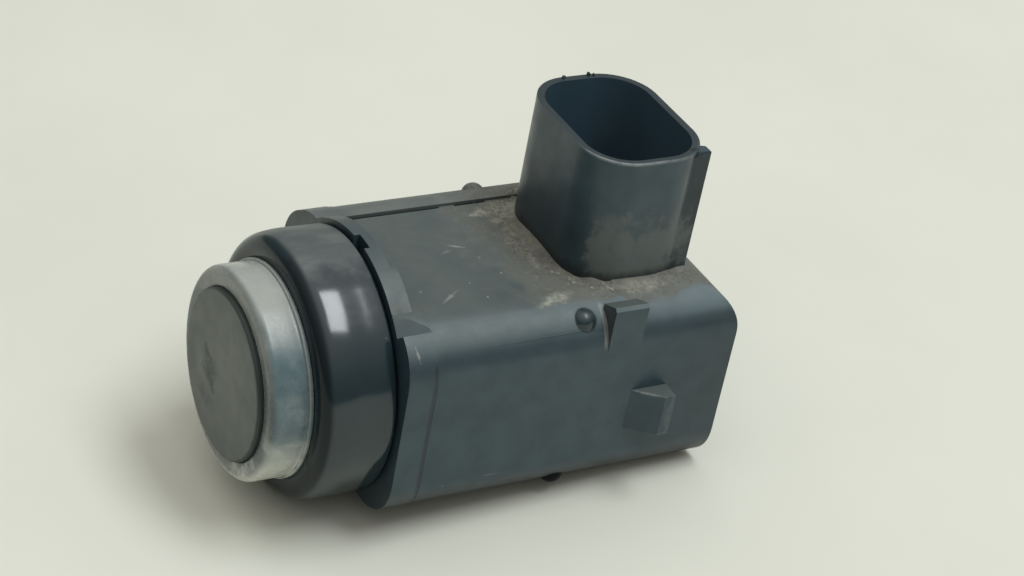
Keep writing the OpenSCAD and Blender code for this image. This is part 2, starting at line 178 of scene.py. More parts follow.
class Shader:
    """A material under construction; its methods add nodes and return their output sockets."""

    def __init__(self, name):
        self.material = bpy.data.materials.new(name)
        self.material.use_nodes = True
        self.tree = self.material.node_tree
        self.surface = self.tree.nodes["Principled BSDF"]
        place = self.tree.nodes.new("ShaderNodeTexCoord").outputs["Object"]
        scaled = self.tree.nodes.new("ShaderNodeVectorMath")
        scaled.operation = "SCALE"
        scaled.inputs["Scale"].default_value = 1.0 / MM
        self.tree.links.new(place, scaled.inputs[0])
        self.mm = scaled.outputs[0]
        split = self.tree.nodes.new("ShaderNodeSeparateXYZ")
        self.tree.links.new(self.mm, split.inputs[0])
        self.x, self.y, self.z = split.outputs
        facing = self.tree.nodes.new("ShaderNodeSeparateXYZ")
        geometry = self.tree.nodes.new("ShaderNodeNewGeometry")
        self.tree.links.new(geometry.outputs["Normal"], facing.inputs[0])
        self.facing_x, self.facing_y, self.facing_z = facing.outputs

    def put(self, socket, value):
        """Link a socket to another one, or give it a value."""
        if isinstance(value, bpy.types.NodeSocket):
            self.tree.links.new(value, socket)
        else:
            socket.default_value = value

    def set(self, **values):
        """Set the surface's own sockets, named with _ for a space."""
        for name, value in values.items():
            self.put(self.surface.inputs[name.replace("_", " ")], value)

    def math(self, operation, a, b=0.0, clamp=False):
        """Result of one operation on two values."""
        node = self.tree.nodes.new("ShaderNodeMath")
        node.operation = operation
        node.use_clamp = clamp
        self.put(node.inputs[0], a)
        self.put(node.inputs[1], b)
        return node.outputs[0]

    def times(self, first, *others):
        """Product of all the values."""
        for other in others:
            first = self.math("MULTIPLY", first, other)
        return first

    def ramp(self, value, low, high, to_low=0.0, to_high=1.0):
        """Smooth step of a value from low to high; low may be the larger."""
        node = self.tree.nodes.new("ShaderNodeMapRange")
        node.interpolation_type = "SMOOTHSTEP"
        self.put(node.inputs["Value"], value)
        if low > high:
            low, high, to_low, to_high = high, low, to_high, to_low
        for name, number in (("From Min", low), ("From Max", high), ("To Min", to_low), ("To Max", to_high)):
            node.inputs[name].default_value = number
        return node.outputs["Result"]

    def noise(self, size, detail=3.0, roughness=0.55, stretch=(1.0, 1.0, 1.0)):
        """Soft noise with features of about a size in millimetres."""
        node = self.tree.nodes.new("ShaderNodeTexNoise")
        node.inputs["Scale"].default_value = 1.0 / size
        node.inputs["Detail"].default_value = detail
        node.inputs["Roughness"].default_value = roughness
        place = self.mm
        if stretch != (1.0, 1.0, 1.0):
            mapping = self.tree.nodes.new("ShaderNodeMapping")
            mapping.inputs["Scale"].default_value = [1.0 / s for s in stretch]
            self.tree.links.new(self.mm, mapping.inputs["Vector"])
            place = mapping.outputs[0]
        self.tree.links.new(place, node.inputs["Vector"])
        return node.outputs["Fac"]

    def specks(self, spacing, radius, share):
        """Mask of scattered round specks; only a share of the cells holds one."""
        node = self.tree.nodes.new("ShaderNodeTexVoronoi")
        node.inputs["Scale"].default_value = 1.0 / spacing
        self.tree.links.new(self.mm, node.inputs["Vector"])
        chosen = self.tree.nodes.new("ShaderNodeSeparateColor")
        self.tree.links.new(node.outputs["Color"], chosen.inputs[0])
        near = self.ramp(node.outputs["Distance"], radius / spacing, 0.4 * radius / spacing)
        return self.times(near, self.math("LESS_THAN", chosen.outputs[0], share))

    def scratch(self, start, end, width):
        """Mask of a streak between two points, with pointed ends and a ragged border."""
        start, end = Vector(start), Vector(end)
        run = end - start

        def vector(operation, a, b):
            node = self.tree.nodes.new("ShaderNodeVectorMath")
            node.operation = operation
            for socket, value in zip(node.inputs, (a, b)):
                self.put(socket, value)
            return node

        ahead = vector("SUBTRACT", self.mm, start)
        along = vector("DOT_PRODUCT", ahead.outputs[0], run / run.length_squared)
        share = self.math("ADD", along.outputs["Value"], 0.0, clamp=True)
        foot = self.tree.nodes.new("ShaderNodeVectorMath")
        foot.operation = "SCALE"
        foot.inputs[0].default_value = run
        self.tree.links.new(share, foot.inputs["Scale"])
        gap = vector("DISTANCE", ahead.outputs[0], foot.outputs[0]).outputs["Value"]
        ragged = self.times(self.noise(0.4, 3.0, 0.6), 0.6 * width)
        from_middle = self.math("ABSOLUTE", self.math("SUBTRACT", share, 0.5))
        pointed = self.ramp(from_middle, 0.1, 0.5, 1.0, 2.0)
        gap = self.times(self.math("ADD", gap, ragged), pointed)
        return self.ramp(gap, 1.3 * width, 0.5 * width)

    def length(self, *parts):
        """Length of a vector from its parts."""
        total, *others = [self.math("POWER", part, 2.0) for part in parts]
        for other in others:
            total = self.math("ADD", total, other)
        return self.math("SQRT", total)

    def mix(self, share, a, b):
        """Colour between a and b."""
        node = self.tree.nodes.new("ShaderNodeMix")
        node.data_type = "RGBA"
        for socket, value in ((node.inputs[0], share), (node.inputs[6], a), (node.inputs[7], b)):
            self.put(socket, value if isinstance(value, (float, bpy.types.NodeSocket)) else (*value, 1.0))
        return node.outputs[2]

    def attribute(self, name):
        """Value that a mesh carries under a name."""
        node = self.tree.nodes.new("ShaderNodeAttribute")
        node.attribute_name = name
        return node.outputs["Fac"]

    def bump(self, height, distance, strength=1.0, under=None):
        """Relief from a height of 0 to 1 that stands for a distance in millimetres."""
        node = self.tree.nodes.new("ShaderNodeBump")
        node.inputs["Strength"].default_value = strength
        node.inputs["Distance"].default_value = distance * MM
        self.tree.links.new(height, node.inputs["Height"])
        if under:
            self.tree.links.new(under, node.inputs["Normal"])
        return node.outputs["Normal"]


def dirt_tone(s):
    """Colour of dry dirt and the mask of its paler crust."""
    crust = s.ramp(s.noise(0.9, 5.0, 0.62), 0.42, 0.72)
    shade = s.mix(s.ramp(s.noise(3.0, 4.0, 0.6), 0.3, 0.7), (0.116, 0.116, 0.100), (0.184, 0.185, 0.159))
    return s.mix(s.times(crust, 0.4), shade, (0.290, 0.292, 0.255)), crust


def socket_out(s):
    """Distance from the socket's core in plan; its outer wall stands at SOCKET_CORNER."""
    across = s.math("SUBTRACT", s.math("ABSOLUTE", s.x), SOCKET_HALF[0] - SOCKET_CORNER)
    along = s.math("ABSOLUTE", s.math("SUBTRACT", s.y, SOCKET_MIDDLE[1]))
    along = s.math("SUBTRACT", along, SOCKET_HALF[1] - SOCKET_CORNER)
    across, along = (s.math("MAXIMUM", part, 0.0) for part in (across, along))
    return s.length(across, along)


def ball(s, centre, radius):
    """Mask of what lies within a radius of a centre."""
    gaps = [s.math("SUBTRACT", at, middle) for at, middle in zip((s.x, s.y, s.z), centre)]
    return s.ramp(s.length(*gaps), radius + 0.15, radius + 0.03)


def streaks(s, marks):
    """Mask of soft streaks, each given by its ends, width and strength."""
    mask = 0.0
    for start, end, width, strength in marks:
        mask = s.math("MAXIMUM", s.times(s.scratch(start, end, width), strength), mask)
    return s.times(mask, s.ramp(s.noise(0.7, 4.0, 0.6), 0.25, 0.6, 0.35, 1.0))


def top_marks(s):
    """Pale scuffs and specks on the panel, the flange and the near side."""
    top, side = PANEL_Z, SIDE_X
    marks = [((-1.64, 10.5, top), (-0.99, 11.9, top), 0.20, 0.65),
             ((-0.52, 9.25, top), (-0.9, 10.5, top), 0.24, 0.25),
             ((6.65, 5.85, top), (5.15, 7.98, top), 0.24, 0.40),
             ((5.95, 6.8, top), (5.6, 7.4, top), 0.34, 0.55),
             ((-0.67, 15.8, top), (-0.75, 16.8, top), 0.30, 0.55),
             ((0.39, 16.0, top), (0.15, 17.0, top), 0.26, 0.25),
             ((-2.0, 17.3, top), (-2.25, 17.7, top), 0.22, 0.50),
             ((11.1, 1.1, 8.4), (12.0, 1.35, 7.3), 0.20, 0.70),
             ((side, 2.4, 6.6), (side, 3.2, 7.0), 0.20, 0.25),
             ((side, 8.9, -6.0), (side, 12.0, -6.1), 0.13, 0.22)]
    spots = ((0.79, 12.4, top), (3.53, 13.2, top), (4.54, 4.65, top), (-2.4, 15.6, top),
             (7.57, 13.9, top), (6.69, 10.2, top), (4.31, 9.6, top), (side, 5.5, -6.4))
    speck = Vector((0.0, 0.1, 0.0))
    marks += [(Vector(spot), Vector(spot) + speck, 0.28, 0.8) for spot in spots]
    return streaks(s, marks)


def latch_painted_highlights(s):
    """Painted highlights on the edges of the near latch: its ramp's upper edge, its crest and its lower end.
    """
    crest = LATCH_X
    return streaks(s, (((12.6, 23.5, 0.8), (crest, 26.05, 0.8), 0.26, 1.0),
                       ((crest, 26.9, 0.7), (crest, 26.9, -3.3), 0.8, 0.25),
                       ((crest, 26.0, -3.35), (crest, 27.1, -3.35), 0.3, 0.35)))


def pale_crust_and_painted_light(s):
    """Paler lumps of dirt at the far rail, at the socket's far corner and along the near rail, and a broad
    pale lump of painted light in front of the socket, where its shadow falls.
    """
    top = PANEL_Z
    lumps = streaks(s, (((-5.7, 15.0, top), (-6.5, 18.2, top), 1.2, 0.9),
                        ((-4.4, 16.9, top), (-7.0, 20.6, top), 3.0, 1.0),
                        ((9.3, 13.9, top), (8.2, 18.2, top), 1.1, 0.8),
                        ((8.5, 21.0, top), (8.9, 28.0, top), 1.2, 0.75),
                        # Painted light: this broad lump stands where the socket's shadow falls
                        ((-5.5, 18.2, top), (3.4, 17.0, top), 2.2, 0.6)))
    return s.times(lumps, s.ramp(s.noise(0.5, 4.0, 0.65), 0.38, 0.6, 0.35, 1.0))


def dust_film(s):
    """Mask of the dust on what faces up and on the wall beneath the far rail."""
    low = s.ramp(s.z, 14.0, 11.0)
    up = s.ramp(s.facing_z, 0.3, 0.95)
    film = s.times(up, low, s.ramp(s.noise(3.5, 5.0, 0.62), 0.25, 0.75, 0.6, 1.0))
    wall = s.times(s.ramp(s.facing_x, 0.5, 0.9), s.ramp(s.x, -7.5, -7.7), low)
    wall = s.times(wall, s.ramp(s.z, PANEL_Z - 0.1, PANEL_Z))
    return s.math("MAXIMUM", film, s.times(wall, 0.8))


def painted_corner_light_and_shade(s, colour):
    """Painted light and shade: a paler end of the flange's slope, a sheen and a shade band on the near
    corner, and shade on the underside and on the corner block's front.
    """
    # Painted light: a paler end of the flange's slope, lifting the shading there
    slope = s.times(s.ramp(s.y, 5.2, 4.2), s.ramp(s.y, 0.2, 0.5), s.ramp(s.x, 6.8, 7.6))
    slope = s.times(slope, s.ramp(s.facing_z, 0.35, 0.6), s.ramp(s.facing_y, -0.04, -0.08))
    colour = s.mix(s.times(slope, 0.2), colour, (0.100, 0.122, 0.123))

    # Painted sheen: a bluish highlight along the near corner, stronger to the rear, and a painted shade band
    # below it
    painted_corner_sheen = s.times(s.ramp(s.facing_x, 0.12, 0.4), s.ramp(s.facing_z, 0.3, 0.75))
    painted_corner_sheen = s.times(painted_corner_sheen, s.ramp(s.x, 8.6, 9.6), s.ramp(s.y, 12.0, 26.0, 0.45, 0.9))
    painted_corner_sheen = s.times(painted_corner_sheen, s.ramp(s.noise(2.6, 4.0), 0.3, 0.7, 0.6, 1.0))
    colour = s.mix(painted_corner_sheen, colour, (0.100, 0.140, 0.156))
    painted_shade_band = s.times(s.ramp(s.facing_x, 0.75, 0.9), s.ramp(s.facing_z, 0.12, 0.3))
    painted_shade_band = s.times(painted_shade_band, s.ramp(s.x, 11.2, 11.6))
    colour = s.mix(s.times(painted_shade_band, 0.4), colour, (0.014, 0.026, 0.036))

    # Painted shade on the underside and on the front of the corner block
    painted_underside_shade = s.ramp(s.facing_z, -0.15, -0.6, 0.0, 0.75)
    colour = s.mix(painted_underside_shade, colour, (0.006, 0.010, 0.011))
    painted_block_shade = s.times(s.ramp(s.facing_y, -0.5, -0.9), s.ramp(s.x, 9.8, 10.4))
    painted_block_shade = s.times(painted_block_shade, s.ramp(s.y, BLOCK_Y - 0.6, BLOCK_Y - 0.3))
    return s.mix(s.times(painted_block_shade, 0.7), colour, (0.006, 0.011, 0.013))


def socket_dirt(s, out):
    """Masks of the level where dirt can lie and of the dirt round the socket's foot."""
    above = s.ramp(s.z, PANEL_Z - 0.5, PANEL_Z - 0.2)
    level = s.times(above, s.ramp(s.z, RAIL_Z + 0.5, RAIL_Z + 0.2))
    # Wavy end of the dirt along the near rail, further out beside the socket
    border = s.math("ADD", s.x, s.ramp(s.noise(2.4, 4.0, 0.55), 0.3, 0.7, -0.22, 0.22))
    bay = s.times(s.ramp(s.y, 22.0, 24.5), s.ramp(s.y, 30.0, 25.5), 1.1)
    edge = s.ramp(s.math("SUBTRACT", border, bay), 9.85, 9.55)
    level = s.times(level, edge, s.ramp(s.facing_z, 0.5, 0.9))
    level = s.times(level, s.ramp(out, SOCKET_CORNER - 0.3, SOCKET_CORNER - 0.1))
    reach = s.math("ADD", out, s.ramp(s.noise(3.0, 4.0, 0.58), 0.25, 0.75, -2.2, 2.2))
    return level, s.times(s.ramp(reach, SOCKET_CORNER + 8.0, SOCKET_CORNER + 0.5), level)


def wall_patch(s):
    """Mask of the dusty patch low on the socket's near wall."""
    turned = s.math("ADD", s.facing_x, s.ramp(s.noise(1.3, 5.0, 0.65), 0.3, 0.7, -0.1, 0.1))
    patch = s.times(s.ramp(turned, 0.62, 0.74), s.ramp(s.z, PANEL_Z, PANEL_Z + 0.6))
    patch = s.times(patch, s.ramp(s.x, 8.6, 8.2), s.ramp(s.x, 5.6, 6.0))
    cloud = s.math("ADD", s.noise(2.2, 6.0, 0.66), s.ramp(s.z, 19.0, 13.0, -0.24, 0.14))
    cloud = s.math("SUBTRACT", cloud, s.ramp(s.y, 26.5, 30.0, 0.0, 0.14))
    return s.times(patch, s.ramp(cloud, 0.38, 0.64))


def socket_tones(s, colour, out):
    """Painted shade at the socket's foot, tones of its inside and rim with a partly painted highlight on the
    lip, and light wear on all rounded edges.
    """
    wear = s.attribute("wear")

    # Painted shade at the socket's foot, where wall and dirt meet, and a bluish inside
    foot = s.times(s.ramp(out, SOCKET_CORNER - 0.3, SOCKET_CORNER - 0.1), s.ramp(s.facing_z, 0.5, 0.2))
    foot = s.times(foot, s.ramp(out, SOCKET_CORNER + 0.5, SOCKET_CORNER + 0.3))
    foot = s.times(foot, s.ramp(s.math("ADD", s.z, s.noise(0.9, 4.0)), 11.2, 10.2))
    colour = s.mix(s.times(foot, 0.75), colour, (0.010, 0.014, 0.016))
    inside = s.times(s.ramp(out, SOCKET_CORNER - 0.4, SOCKET_CORNER - 0.6), s.ramp(s.z, 10.5, 11.5))
    inside = s.times(inside, s.ramp(s.facing_z, 0.3, 0.1))
    colour = s.mix(inside, colour, (0.045, 0.084, 0.115))

    # Dark crown of the rim, with paler edges that are partly wear and partly a painted highlight
    at_rim = s.ramp(s.z, SOCKET_RIM - 0.2, SOCKET_RIM - 0.1)
    crown = s.times(s.ramp(s.facing_z, 0.75, 0.95), at_rim)
    colour = s.mix(s.times(crown, 0.65), colour, (0.012, 0.020, 0.023))
    lip_wear_and_painted_highlight = s.times(wear, at_rim, s.ramp(s.y, 22.0, 20.0, 0.2, 0.6))
    colour = s.mix(lip_wear_and_painted_highlight, colour, (0.120, 0.140, 0.146))

    # Rubbed edges, most on the latch and on the near front corner of the rim
    worn = s.times(wear, s.ramp(s.noise(0.9, 3.0), 0.35, 0.75))
    worn = s.times(worn, s.ramp(s.x, 12.7, 13.0, 0.35, 0.9))
    rim = s.ramp(out, SOCKET_CORNER - 0.3, SOCKET_CORNER - 0.12)
    rim = s.times(rim, s.ramp(s.z, SOCKET_RIM - 0.25, SOCKET_RIM - 0.08))
    rim = s.times(rim, s.ramp(s.x, 2.5, 6.5), s.ramp(s.y, 29.5, 23.0, 0.15, 1.0))
    rim = s.times(rim, s.ramp(s.noise(0.8, 4.0, 0.65), 0.3, 0.6, 0.4, 0.95))
    return s.mix(s.math("MAXIMUM", worn, rim), colour, (0.230, 0.255, 0.260))


def marks_and_painted_highlights(s, colour):
    """Painted highlight on the edge in front of the corner block, scuffs, painted highlights on the latch,
    cracks and the seam.
    """
    # Painted highlight: a pale line along the lit edge in front of the corner block
    painted_edge_highlight = s.ramp(s.y, BLOCK_Y - 0.5, BLOCK_Y - 0.4)
    painted_edge_highlight = s.times(painted_edge_highlight, s.ramp(s.y, BLOCK_Y + 0.02, BLOCK_Y - 0.05))
    painted_edge_highlight = s.times(painted_edge_highlight, s.ramp(s.x, 9.6, 10.2), s.ramp(s.z, 5.6, 6.6))
    colour = s.mix(s.times(painted_edge_highlight, 0.6), colour, (0.240, 0.250, 0.245))
    colour = s.mix(top_marks(s), colour, (0.330, 0.345, 0.325))
    colour = s.mix(latch_painted_highlights(s), colour, (0.200, 0.225, 0.230))

    # Two short dark cracks on the near rail, and the seam on the near side
    rear_crack = s.scratch((9.75, 29.4, 9.45), (9.55, 31.0, 9.35), 0.16)
    side_crack = s.scratch((10.6, 25.9, 9.4), (10.7, 26.4, 9.4), 0.3)
    dark = s.math("MAXIMUM", rear_crack, side_crack)
    seam = s.ramp(s.math("ABSOLUTE", s.math("SUBTRACT", s.y, SEAM_Y)), 0.22, 0.12)
    dark = s.math("MAXIMUM", dark, s.times(seam, s.ramp(s.x, 12.1, 12.4), 0.8))
    return s.mix(s.times(dark, 0.8), colour, (0.015, 0.019, 0.021))


def housing_material():
    s = Shader("housing_plastic")
    mottle = s.ramp(s.noise(2.4, 4.0), 0.3, 0.7)
    colour = s.mix(mottle, (0.028, 0.054, 0.067), (0.040, 0.070, 0.087))

    # Painted shade: darker on the faces that look ahead and towards the rear of the near side; the socket's
    # rib is darker too
    ahead = s.times(s.ramp(s.facing_y, -0.5, -0.95), s.ramp(s.z, 20.0, 12.0, 0.0, 0.45))
    rear = s.times(s.ramp(s.y, 22.0, 33.0, 0.0, 0.3), s.ramp(s.facing_x, 0.6, 0.9))
    rib = s.times(s.ramp(s.x, 6.0, 6.4), s.ramp(s.y, 28.2, 28.8), s.ramp(s.z, 9.6, 10.2), 0.8)
    painted_shade_and_dark_rib = s.math("MAXIMUM", s.math("MAXIMUM", ahead, rear), rib)
    colour = s.mix(painted_shade_and_dark_rib, colour, (0.008, 0.016, 0.020))

    # Grey dust, palest on the far rail
    film = dust_film(s)
    far = s.ramp(s.x, -7.0, -8.2)
    dust = s.mix(far, (0.086, 0.104, 0.099), (0.138, 0.152, 0.143))
    # Painted light and shade on the flange's slope, the near corner, the underside and the corner block
    colour = painted_corner_light_and_shade(s, s.mix(film, colour, dust))

    # Brown dirt with pale lumps round the socket, one of them painted light where the socket's shadow falls,
    # and a dusty patch on its wall
    out = socket_out(s)
    level, dirt = socket_dirt(s, out)
    tone, crust = dirt_tone(s)
    colour = s.mix(s.times(dirt, 0.88), colour, tone)
    colour = s.mix(s.times(pale_crust_and_painted_light(s), level, 0.95), colour, PALE_DIRT_AND_LIGHT_COLOUR)
    patch = wall_patch(s)
    colour = s.mix(s.times(patch, 0.8), colour, (0.116, 0.132, 0.125))
    # Painted shade at the socket's foot and painted highlights on the latch and before the corner block,
    # with wear, scuffs and cracks
    colour = marks_and_painted_highlights(s, socket_tones(s, colour, out))

    # Glossy bump on the near top corner, and painted shade: the bump below, which lies in shadow, made black
    # and dull
    knob = ball(s, NEAR_BUMP, BUMP_R)
    colour = s.mix(s.times(knob, 0.8), colour, (0.018, 0.030, 0.035))
    low_knob_painted_shade = ball(s, LOW_BUMP, BUMP_R)
    colour = s.mix(low_knob_painted_shade, colour, (0.004, 0.005, 0.006))

    relief = s.bump(s.noise(0.16, 2.0), 0.02, 0.4)
    relief = s.bump(s.times(dirt, crust), 0.2, 0.75, relief)
    dull = s.math("ADD", s.times(film, 0.16), s.times(s.math("MAXIMUM", dirt, patch), 0.3))
    dull = s.math("SUBTRACT", dull, s.times(knob, 0.2))
    rough = s.math("ADD", s.ramp(s.noise(1.4, 4.0), 0.3, 0.7, 0.32, 0.42), dull, clamp=True)
    gleam = s.ramp(s.math("MAXIMUM", low_knob_painted_shade, s.times(rib, 0.8)), 0.0, 1.0, 0.5, 0.08)
    s.set(Base_Color=colour, Roughness=rough, Normal=relief, IOR=1.5, Specular_IOR_Level=gleam)
    return s.material


def collar_material():
    s = Shader("collar_plastic")
    lit = s.math("ADD", s.facing_x, s.ramp(s.noise(2.4, 4.0, 0.6), 0.3, 0.7, -0.06, 0.06))
    film = s.times(s.ramp(lit, 0.36, 0.10), s.ramp(s.facing_z, 0.35, 0.85))
    film = s.times(film, s.ramp(s.facing_y, -0.6, -0.2))
    smear = s.ramp(s.noise(1.6, 4.0, 0.6, (1.0, 3.0, 1.0)), 0.35, 0.75)
    haze = s.times(film, s.ramp(smear, 0.0, 1.0, 0.6, 1.0))
    colour = s.mix(haze, (0.014, 0.028, 0.034), (0.108, 0.127, 0.126))
    specks = s.times(s.specks(1.1, 0.09, 0.2), s.ramp(s.noise(1.5), 0.4, 0.7))
    colour = s.mix(s.times(specks, 0.5), colour, (0.30, 0.31, 0.29))
    rough = s.math("ADD", s.math("ADD", s.times(film, 0.30), s.times(smear, 0.05)), 0.12)
    relief = s.bump(s.noise(2.0, 3.0, stretch=(1.0, 2.5, 1.0)), 0.008, 0.5)
    # Painted shade: the front rounding that faces ahead made darker, standing in for its dark reflection;
    # its specular level is lowered there too
    ahead = s.ramp(s.facing_y, -0.25, -0.65)
    colour = s.mix(s.times(ahead, s.ramp(lit, -0.1, 0.15), 0.8), colour, (0.006, 0.010, 0.012))
    s.set(Base_Color=colour, Roughness=rough, Normal=relief, IOR=1.58,
          Specular_IOR_Level=s.ramp(ahead, 0.0, 1.0, 0.5, 0.2))
    return s.material


def ring_material():
    s = Shader("soft_ring")
    cloud = s.ramp(s.noise(2.8, 5.0, 0.65), 0.3, 0.7)
    colour = s.mix(cloud, (0.088, 0.138, 0.155), (0.130, 0.180, 0.195))
    # Painted light: the front face paler near the top and the bottom than at the sides
    front = s.times(s.ramp(s.facing_y, -0.35, -0.85), s.ramp(cloud, 0.0, 1.0, 0.75, 1.0))
    painted_light_heights = s.math("MAXIMUM", s.ramp(s.z, 3.5, 8.0), s.ramp(s.z, -5.0, -8.5))
    colour = s.mix(front, colour, s.mix(painted_light_heights, (0.110, 0.126, 0.126), (0.250, 0.266, 0.254)))
    # Paler where it faces up, partly dust and partly painted light
    colour = s.mix(s.ramp(s.facing_z, 0.62, 0.97, 0.0, 0.9), colour, (0.375, 0.388, 0.362))
    # Paler where it faces down, partly residue and partly painted light from the floor
    colour = s.mix(s.ramp(s.facing_z, 0.05, -0.5, 0.0, 0.9), colour, (0.640, 0.652, 0.592))
    # Paler lip: partly its thin translucent edge, partly a painted highlight
    radius = s.length(s.x, s.z)
    colour = s.mix(s.ramp(radius, 9.64, 9.74, 0.0, 0.6), colour, (0.270, 0.310, 0.315))
    streak = s.ramp(s.noise(2.0, 4.0, 0.55), 0.46, 0.74)
    low = s.ramp(s.z, 2.0, -5.5, 0.15, 1.0)
    colour = s.mix(s.times(streak, low), colour, (0.560, 0.575, 0.530))
    rough = s.ramp(s.noise(1.2, 3.0), 0.3, 0.7, 0.22, 0.36)
    relief = s.bump(s.noise(0.5, 3.0), 0.02, 0.5)
    s.set(Base_Color=colour, Roughness=rough, Normal=relief, IOR=1.41, Subsurface_Weight=0.2,
          Subsurface_Scale=0.0006, Subsurface_Radius=(1.0, 1.0, 1.0))
    return s.material


def membrane_material():
    s = Shader("membrane_paint")
    cloud = s.ramp(s.noise(3.2, 5.0, 0.6), 0.3, 0.7)
    colour = s.mix(cloud, (0.108, 0.126, 0.119), (0.128, 0.147, 0.138))
    # Dark patch beside the middle and a faint one under it
    dark_patch = streaks(s, (((-3.5, FACE_Y, 0.6), (-1.3, FACE_Y, -2.4), 2.2, 1.0),
                         ((-4.4, FACE_Y, -4.2), (-1.0, FACE_Y, -3.7), 1.3, 0.5)))
    colour = s.mix(dark_patch, colour, (0.034, 0.047, 0.043))
    radius = s.length(s.x, s.z)
    colour = s.mix(s.ramp(radius, 3.0, 7.2, 0.0, 0.3), colour, (0.070, 0.084, 0.080))
    # Painted shade: the pot's side wall at the rim made dark, as it lies in shadow
    wall = s.ramp(s.math("ADD", radius, s.times(s.noise(0.6), 0.1)), 7.5, 7.72)
    colour = s.mix(s.times(wall, 0.85), colour, (0.012, 0.021, 0.020))
    colour = s.mix(s.times(s.specks(1.3, 0.08, 0.25), 0.3), colour, (0.22, 0.23, 0.21))
    rough = s.ramp(s.noise(1.8, 4.0), 0.3, 0.7, 0.46, 0.58)
    s.set(Base_Color=colour, Roughness=rough, Normal=s.bump(s.noise(0.14, 2.0), 0.012, 0.5))
    return s.material


def dirt_material():
    s = Shader("dry_dirt")
    colour = s.mix(s.ramp(s.noise(0.3, 3.0), 0.35, 0.65), (0.160, 0.159, 0.134), (0.300, 0.297, 0.250))
    s.set(Base_Color=colour, Roughness=0.95, Normal=s.bump(s.noise(0.05, 2.0), 0.02))
    return s.material


def plain_material(slot, dark, light, roughness, size=0.8, metallic=0.0, grain=0.02,
                   stretch=(1.0, 1.0, 1.0)):
    """Plain finish: two tones in a grain of a given size, with its relief."""
    s = Shader(slot)
    tone = s.noise(size, 4.0, 0.6, stretch)
    colour = s.mix(s.ramp(tone, 0.3, 0.7), dark, light)
    rough = s.ramp(s.noise(1.7 * size), 0.3, 0.7, roughness - 0.06, roughness + 0.06)
    s.set(Base_Color=colour, Roughness=rough, Metallic=metallic, Normal=s.bump(tone, grain, 0.6))
    return s.material


def floor_material():
    s = Shader("floor")
    tone = s.ramp(s.noise(60.0, 4.0, 0.6), 0.3, 0.7)
    s.set(Base_Color=s.mix(tone, (0.675, 0.685, 0.605), (0.715, 0.722, 0.645)), Roughness=0.75)
    return s.material


# Pieces

def make_housing():
    mesh = softened("housing", 0.09)
    piece = add_object("housing_shell", mesh, housing_material(), "housing")
    weight_normals(piece)
    finish = plain_material("cover_plastic", (0.037, 0.052, 0.058), (0.050, 0.069, 0.075), 0.48, 2.2)
    mesh = softened("bottom_cover", 0.12)
    cover = add_object("cover_plate", mesh, finish, "bottom_cover")
    weight_normals(cover)


def make_collar():
    # Roundings of the outer edges, the small chamfer inside and how much narrower the rear is
    front, rear, chamfer, rear_taper = 1.48, 0.25, 0.15, 0.06
    # Inner radii and the step between them
    bore, seat, step_y = 10.55, 9.45, -4.85
    # Radius where the front's rounding begins, and the tilt in degrees where it ends
    shoulder, steep = 10.439, 9.0
    profile = [(seat, step_y), (seat, COLLAR_Y + chamfer)]
    profile += [(seat + chamfer, COLLAR_Y), (shoulder - 0.1, COLLAR_Y)]
    profile += arc((shoulder, COLLAR_Y + front), front, -90.0, -steep, 14)
    # Slight crown and a shallow wave, as the tilt of the surface in degrees at places along the axis
    tilts = ((-5.3, 7.8), (-5.0, 6.4), (-4.7, 5.0), (-4.4, 3.6), (-4.1, 2.2), (-3.8, 0.6),
             (-3.6, -0.6), (-3.4, -1.3), (-3.0, -1.8), (-2.6, -1.6), (-2.3, -0.9), (-2.0, 0.1),
             (-1.8, 0.25), (-1.6, 0.05), (-1.3, -0.8), (-1.0, -1.6), (-0.7, -2.0))
    for y, tilt in tilts:
        r, last = profile[-1]
        profile.append((r + (y - last) * math.tan(math.radians(0.5 * (tilt + steep))), y))
        steep = tilt
    profile += arc((COLLAR_R - rear_taper - rear, -rear), rear, 0.0, 90.0, 5)
    profile += [(bore, 0.0), (bore, step_y)]
    mesh = lathe("collar_shell", profile)
    add_object("collar_shell", mesh, collar_material(), "front_collar")


def make_ring():
    inner, seat, rear, bore, back = 7.76, 9.38, -0.82, 6.65, -2.1
    profile = [(inner, RING_Y + 0.25)]
    profile += arc((inner + 0.2, RING_Y + 0.2), 0.2, -170.0, -90.0, 4)
    profile += arc((8.9, RING_Y + 0.7), 0.7, -90.0, 0.0, 9)
    profile += [(9.6, -8.0), (9.59, -7.7), (9.565, -7.45), (9.565, -7.3), (9.6, -7.2)]
    profile += arc((9.69, -7.06), 0.12, -120.0, 0.0, 5)
    profile += [(9.81, -6.95), (9.78, -6.81), (seat, -6.81), (seat, rear)]
    profile += [(bore, rear), (bore, back), (inner, back)]
    mesh = lathe("ring_sleeve", profile)
    add_object("ring_sleeve", mesh, ring_material(), "decoupling_ring")


def make_pot():
    outer, hollow, floor, rear, edge = 7.75, 6.55, -10.3, -2.12, 0.35
    profile = [(0.0, FACE_Y), (3.0, FACE_Y), (6.6, FACE_Y), (outer - edge, FACE_Y)]
    profile += arc((outer - edge, FACE_Y + edge), edge, -90.0, 0.0, 7)[1:]
    profile += [(outer, RING_Y + 0.1), (outer, rear), (hollow, rear), (hollow, floor), (0.0, floor)]
    mesh = lathe("membrane_cup", profile, closed=False)
    add_object("membrane_cup", mesh, membrane_material(), "membrane_pot")


